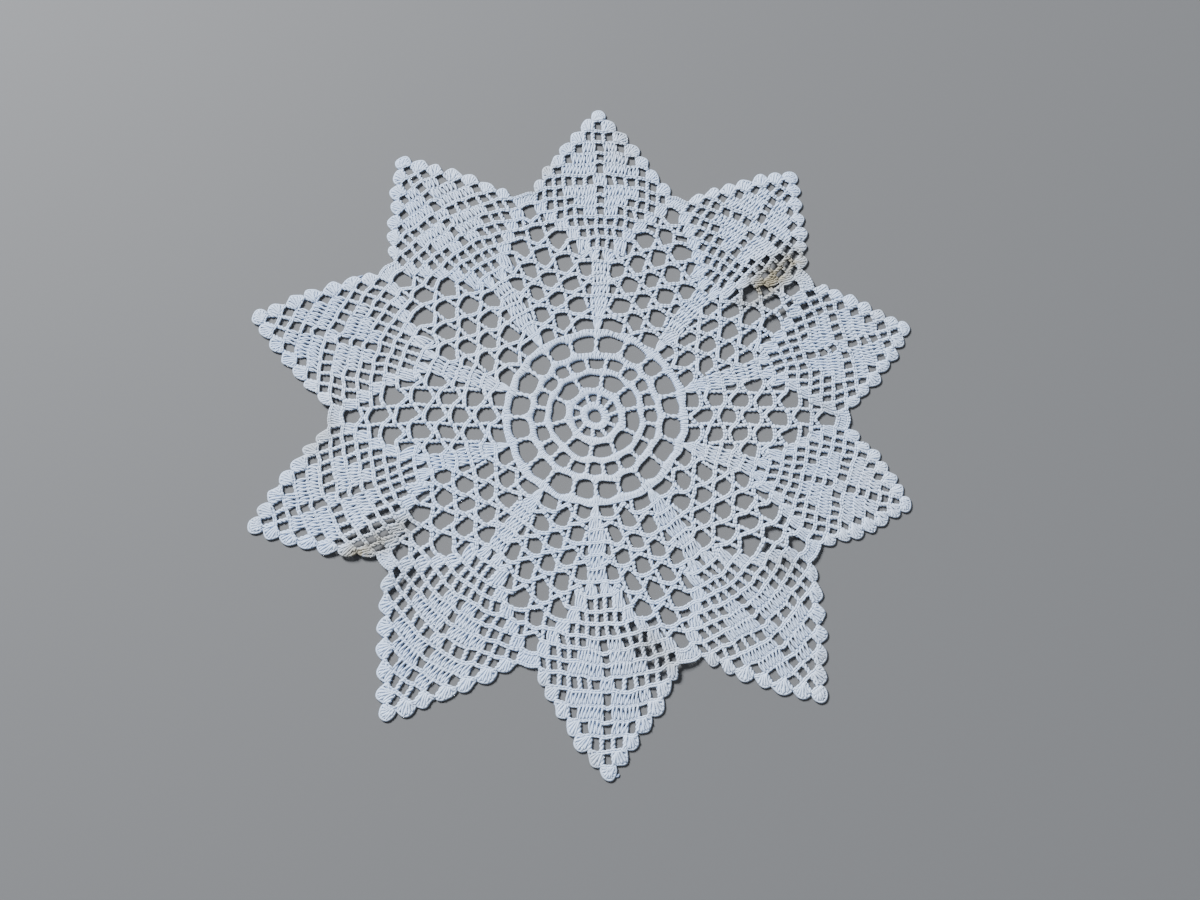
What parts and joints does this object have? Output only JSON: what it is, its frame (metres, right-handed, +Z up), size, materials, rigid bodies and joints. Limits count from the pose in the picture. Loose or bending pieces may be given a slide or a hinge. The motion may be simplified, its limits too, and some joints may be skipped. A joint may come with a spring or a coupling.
{
  "type": "lace doily",
  "caption": "flat star-shaped crocheted lace mat with a round medallion, a net of tall gaps between solid pillars, and filet points edged with round shells",
  "frame": {"origin": "centre of the bounding box on the surface that the mat lies on", "axes": "+Z up out of the surface, +Y towards the point at the top, +X to the right of it seen from above"},
  "size_m": [0.291, 0.3006, 0.0012],
  "materials": {
    "cotton_thread": "matt bleached crochet cotton with faint tan stains"
  },
  "bodies": {
    "root": {"doily": "cotton_thread"}
  },
  "joints": []
}
